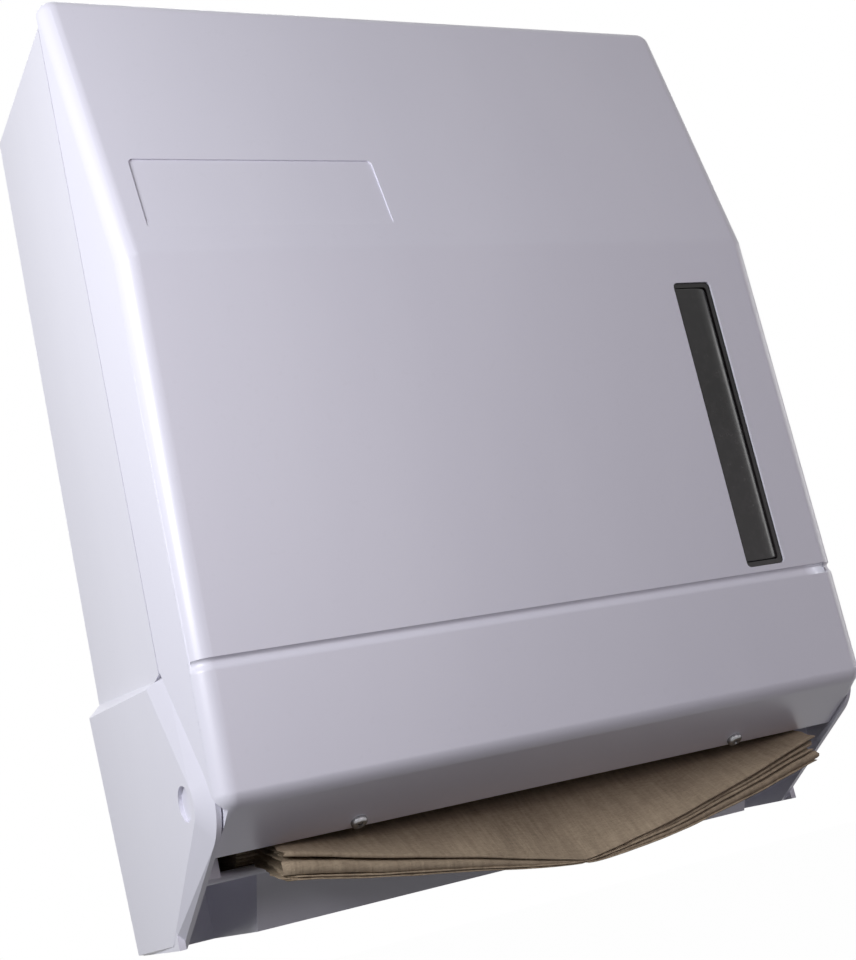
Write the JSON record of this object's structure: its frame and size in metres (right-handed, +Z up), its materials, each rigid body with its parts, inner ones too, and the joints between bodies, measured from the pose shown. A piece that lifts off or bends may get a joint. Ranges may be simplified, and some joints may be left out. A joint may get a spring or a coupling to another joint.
{
  "type": "folded towel dispenser",
  "caption": "Wall-mounted folded paper towel dispenser: white plastic base, bottom-hinged cover with smoked level window and top cam lock, towels hanging from the mouth.",
  "frame": {"origin": "middle of the four wall screw holes, on the back face that lies on the wall", "axes": "+X to the right seen from the front, +Y into the wall, +Z up; the front faces -Y"},
  "size_m": [0.2828, 0.1166, 0.3498],
  "materials": {
    "white_plastic": "satin moulded",
    "smoked_plastic": "smoked, polished",
    "kraft_paper": "creped brown paper",
    "kraft_stack": "creped brown paper",
    "plated_steel": "zinc plated"
  },
  "bodies": {
    "base": {"rear_base": "white_plastic", "hinge_pin_left": "white_plastic", "hinge_pin_right": "white_plastic", "towel_stack": "kraft_stack", "hanging_towel_1": "kraft_paper", "hanging_towel_2": "kraft_paper", "hanging_towel_3": "kraft_paper", "hanging_towel_4": "kraft_paper"},
    "cover": {"front_cover": "white_plastic", "level_window": "smoked_plastic", "outlet_guide": "white_plastic", "outlet_screw_left": "plated_steel", "outlet_screw_right": "plated_steel", "lock_barrel": "plated_steel", "lock_nut": "plated_steel"},
    "lock_core": {"lock_plug": "plated_steel", "lock_cam": "plated_steel", "lock_cam_screw": "plated_steel"},
    "next_towel": {"lead_towel": "kraft_paper"}
  },
  "joints": [
    {"name": "cover_hinge", "type": "hinge", "parent": "base", "child": "cover", "pos_m": [0, -0.0878, -0.1511], "axis": [1, 0, 0], "range_deg": [0, 80], "deforming": ["hanging_towel_1", "hanging_towel_2", "hanging_towel_3", "hanging_towel_4", "lead_towel"]},
    {"name": "lock_turn", "type": "hinge", "parent": "cover", "child": "lock_core", "pos_m": [0, -0.06, 0.13], "axis": [0, 0, 1], "range_deg": [0, 90]},
    {"name": "towel_pull", "type": "slide", "parent": "base", "child": "next_towel", "axis": [0, -0.5478, -0.8366], "range_m": [0, 0.09]}
  ]
}
